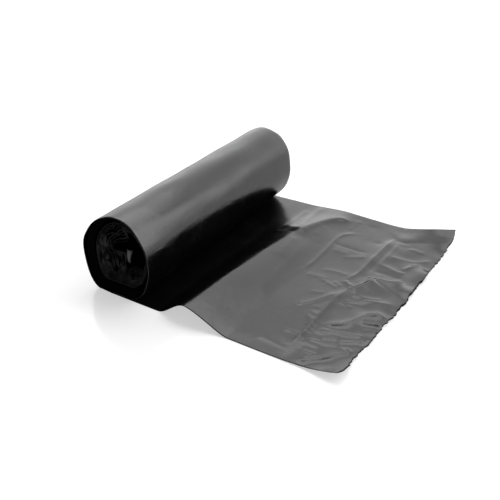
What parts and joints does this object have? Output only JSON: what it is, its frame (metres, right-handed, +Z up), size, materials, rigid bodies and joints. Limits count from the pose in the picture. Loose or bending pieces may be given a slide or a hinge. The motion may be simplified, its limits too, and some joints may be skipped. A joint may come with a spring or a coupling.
{
  "type": "bin bag roll",
  "caption": "Coreless roll of black film refuse sacks lying on a flat underside, its free end pulled out from below over a hump to a torn perforated edge with lifted corners.",
  "frame": {"origin": "on the floor, at the middle of the part's footprint", "axes": "+X is the way the loose end is pulled out, +Y runs along the roll's axis, +Z is up"},
  "size_m": [0.2566, 0.248, 0.078],
  "materials": {
    "film": "satin"
  },
  "bodies": {
    "root": {"bag_roll": "film"}
  },
  "joints": []
}
